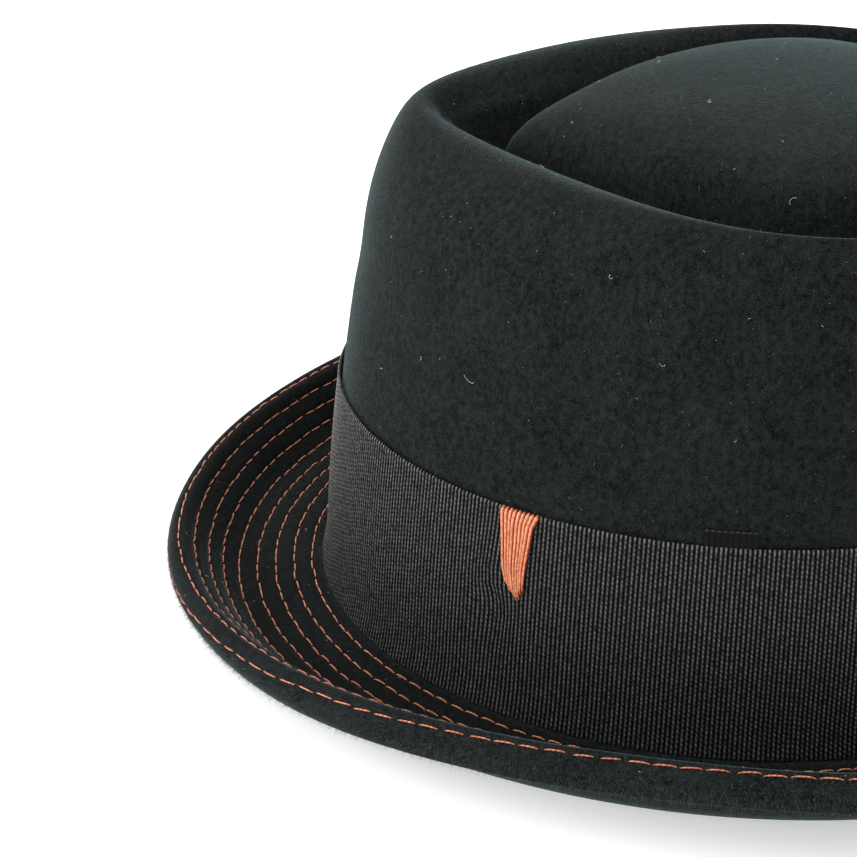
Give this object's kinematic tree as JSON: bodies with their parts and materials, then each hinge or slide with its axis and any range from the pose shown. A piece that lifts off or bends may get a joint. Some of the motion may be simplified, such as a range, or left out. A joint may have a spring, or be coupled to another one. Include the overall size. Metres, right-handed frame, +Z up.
{
  "type": "porkpie hat",
  "caption": "Black wool felt porkpie hat: teardrop telescope crown, curled brim for ten rows of rust topstitching, wide ribbed band with a rust thread wedge.",
  "frame": {"origin": "centre of the hat's outline at the floor it rests on", "axes": "+Z up, -Y towards the front of the hat (the pointed end of the crown), +X towards the wearer's left, the side the picture shows"},
  "size_m": [0.2442, 0.2812, 0.1308],
  "materials": {
    "felt": "matte black wool felt with a short nap",
    "ribbon": "ribbed black ribbon with a dull sheen",
    "thread": "rust satin-stitched thread"
  },
  "bodies": {
    "root": {"felt_body": "felt", "hat_band": "ribbon", "wedge_tack": "thread"}
  },
  "joints": []
}
